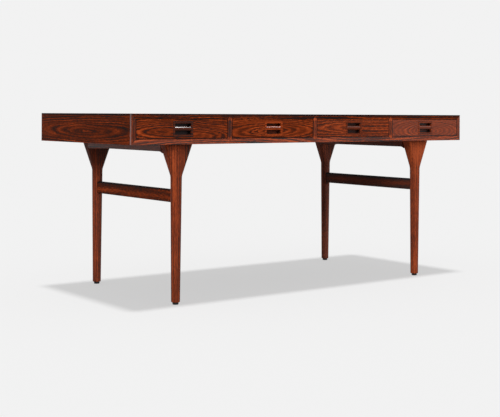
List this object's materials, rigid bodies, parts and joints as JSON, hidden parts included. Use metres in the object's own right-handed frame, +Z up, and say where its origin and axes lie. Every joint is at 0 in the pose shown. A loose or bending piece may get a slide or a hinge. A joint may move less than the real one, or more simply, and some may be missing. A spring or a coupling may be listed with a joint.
{
  "type": "executive desk",
  "caption": "Rosewood writing desk: a shallow mitred case with a row of drawers, each with a let-in finger pull, on round flared legs joined front to back by stretchers.",
  "frame": {"origin": "on the floor at the middle of the footprint", "axes": "+X to the right along the drawer fronts, +Y from the drawer fronts to the back, +Z up"},
  "size_m": [1.8, 0.75, 0.744],
  "materials": {
    "rosewood": "satin lacquer",
    "rosewood_lipping": "satin lacquer",
    "rosewood_dark": "satin lacquer",
    "oak": "waxed",
    "beech": "bare",
    "black_nylon": "matte",
    "steel": "bright zinc"
  },
  "bodies": {
    "case": {"top_panel": "rosewood", "bottom_panel": "rosewood", "left_end_panel": "rosewood", "right_end_panel": "rosewood", "back_panel": "rosewood", "divider_1": "rosewood", "divider_2": "rosewood", "divider_3": "rosewood", "top_front_lipping": "rosewood_lipping", "bottom_front_lipping": "rosewood_lipping", "left_front_lipping": "rosewood_lipping", "right_front_lipping": "rosewood_lipping", "divider_lippings": "rosewood_lipping", "top_back_lipping": "rosewood_lipping", "bottom_back_lipping": "rosewood_lipping", "left_back_lipping": "rosewood_lipping", "right_back_lipping": "rosewood_lipping", "mitre_splines": "beech", "left_runners": "beech", "right_runners": "beech", "runner_screws": "steel", "drawer_stops": "beech", "front_left_leg": "rosewood", "front_right_leg": "rosewood", "back_left_leg": "rosewood", "back_right_leg": "rosewood", "left_bearer": "rosewood_dark", "right_bearer": "rosewood_dark", "left_stretcher": "rosewood", "right_stretcher": "rosewood", "bearer_dowels": "beech", "bearer_screws": "steel", "floor_glides": "black_nylon"},
    "drawer_1": {"drawer_1_front": "rosewood", "drawer_1_pull": "rosewood_lipping", "drawer_1_left_side": "oak", "drawer_1_right_side": "oak", "drawer_1_back": "oak", "drawer_1_bottom": "oak"},
    "drawer_2": {"drawer_2_front": "rosewood", "drawer_2_pull": "rosewood_lipping", "drawer_2_left_side": "oak", "drawer_2_right_side": "oak", "drawer_2_back": "oak", "drawer_2_bottom": "oak"},
    "drawer_3": {"drawer_3_front": "rosewood", "drawer_3_pull": "rosewood_lipping", "drawer_3_left_side": "oak", "drawer_3_right_side": "oak", "drawer_3_back": "oak", "drawer_3_bottom": "oak"},
    "drawer_4": {"drawer_4_front": "rosewood", "drawer_4_pull": "rosewood_lipping", "drawer_4_left_side": "oak", "drawer_4_right_side": "oak", "drawer_4_back": "oak", "drawer_4_bottom": "oak"}
  },
  "joints": [
    {"name": "drawer_1_slide", "type": "slide", "parent": "case", "child": "drawer_1", "axis": [0, -1, 0], "range_m": [0, 0.42]},
    {"name": "drawer_2_slide", "type": "slide", "parent": "case", "child": "drawer_2", "axis": [0, -1, 0], "range_m": [0, 0.42]},
    {"name": "drawer_3_slide", "type": "slide", "parent": "case", "child": "drawer_3", "axis": [0, -1, 0], "range_m": [0, 0.42]},
    {"name": "drawer_4_slide", "type": "slide", "parent": "case", "child": "drawer_4", "axis": [0, -1, 0], "range_m": [0, 0.42]}
  ]
}
